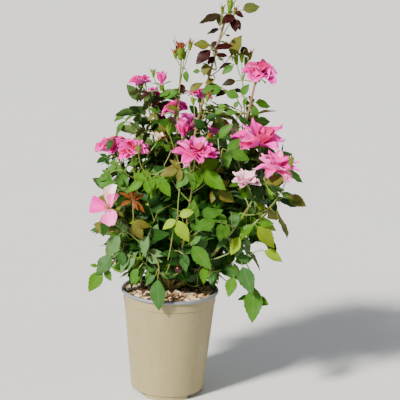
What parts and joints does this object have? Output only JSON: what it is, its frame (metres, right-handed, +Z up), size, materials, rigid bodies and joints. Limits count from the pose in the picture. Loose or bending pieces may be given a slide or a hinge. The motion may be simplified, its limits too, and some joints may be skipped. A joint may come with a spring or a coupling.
{
  "type": "potted rose bush",
  "caption": "Bushy shrub rose with pink semi-double flowers, standing in a round taupe nursery pot filled with bark compost.",
  "frame": {"origin": "centre of the flat underside of the pot, on the ground", "axes": "+Z up, -Y towards the side seen in the picture, +X to the right of that view"},
  "size_m": [0.4005, 0.3672, 0.7868],
  "materials": {
    "pot": "matt moulded polypropylene, warm taupe",
    "compost": "loose bark chips and compost",
    "cane": "green young bark, browner at the foot",
    "foliage": "semi-matt living leaves and green twigs",
    "bloom": "soft petals, mid pink",
    "bud": "soft green and bronze buds"
  },
  "bodies": {
    "root": {"pot": "pot", "compost": "compost", "rootstock": "cane", "cane_tall": "cane", "cane_bud": "cane", "cane_back_tall": "cane", "cane_right_tall": "cane", "cane_left": "cane", "cane_back_left": "cane", "cane_back_right": "cane", "cane_front": "cane", "cane_front_left": "cane", "cane_right": "cane", "cane_front_right": "cane", "cane_back": "cane", "tall_buds": "bud", "bud_buds": "bud", "right_tall_bloom": "bloom", "right_tall_buds": "bud", "back_tall_bloom": "bloom", "crown_bloom": "bloom", "crown_side_bloom": "bloom", "crown_opening": "bloom", "front_bloom": "bloom", "front_side_bloom": "bloom", "front_left_bloom": "bloom", "right_bloom": "bloom", "front_right_bloom": "bloom", "front_right_pale": "bloom", "left_pale": "bloom", "back_left_bloom": "bloom", "back_bloom": "bloom", "back_right_bloom": "bloom", "back_side_bloom": "bloom", "front_spent": "bloom", "foliage_tall": "foliage", "foliage_bud": "foliage", "foliage_back_tall": "foliage", "foliage_right_tall": "foliage", "foliage_left": "foliage", "foliage_back_left": "foliage", "foliage_back_right": "foliage", "foliage_front": "foliage", "foliage_front_left": "foliage", "foliage_right": "foliage", "foliage_front_right": "foliage", "foliage_back": "foliage", "foliage_low_front": "foliage", "foliage_low_front_left": "foliage", "foliage_low_back_left": "foliage", "foliage_low_back": "foliage", "foliage_low_back_right": "foliage", "foliage_low_right": "foliage"}
  },
  "joints": []
}
